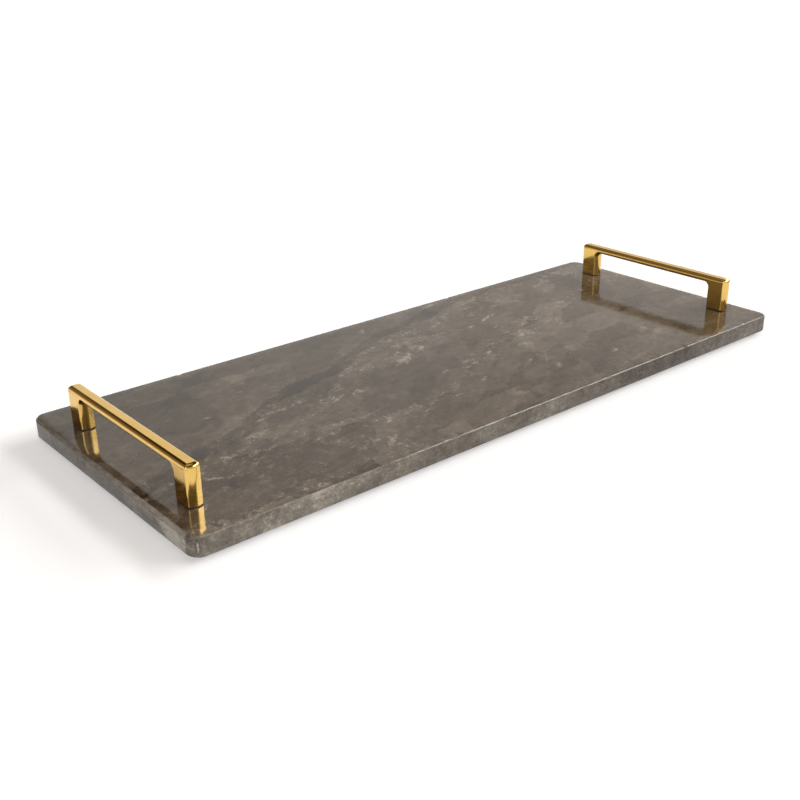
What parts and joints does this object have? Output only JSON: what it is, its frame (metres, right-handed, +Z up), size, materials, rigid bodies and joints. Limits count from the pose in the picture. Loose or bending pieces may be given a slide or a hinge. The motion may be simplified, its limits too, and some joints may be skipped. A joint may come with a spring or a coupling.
{
  "type": "serving tray",
  "caption": "Long rectangular polished stone serving tray with rounded corners, a flat gold bar handle across each short end and rubber feet.",
  "frame": {"origin": "on the table, under the centre of the slab", "axes": "+X along the slab's length, +Y across its width, +Z up out of the serving face"},
  "size_m": [0.508, 0.197, 0.041],
  "materials": {
    "marble": "polished",
    "gold": "polished",
    "fastener_steel": "satin",
    "pad_rubber": "matte",
    "foot_rubber": "matte"
  },
  "bodies": {
    "root": {"marble_slab": "marble", "handle_left": "gold", "handle_right": "gold", "leg_pad_left_front": "pad_rubber", "leg_pad_left_back": "pad_rubber", "leg_pad_right_front": "pad_rubber", "leg_pad_right_back": "pad_rubber", "washer_left_front": "fastener_steel", "washer_left_back": "fastener_steel", "washer_right_front": "fastener_steel", "washer_right_back": "fastener_steel", "screw_left_front": "fastener_steel", "screw_left_back": "fastener_steel", "screw_right_front": "fastener_steel", "screw_right_back": "fastener_steel", "foot_left_front": "foot_rubber", "foot_left_back": "foot_rubber", "foot_right_front": "foot_rubber", "foot_right_back": "foot_rubber"}
  },
  "joints": []
}
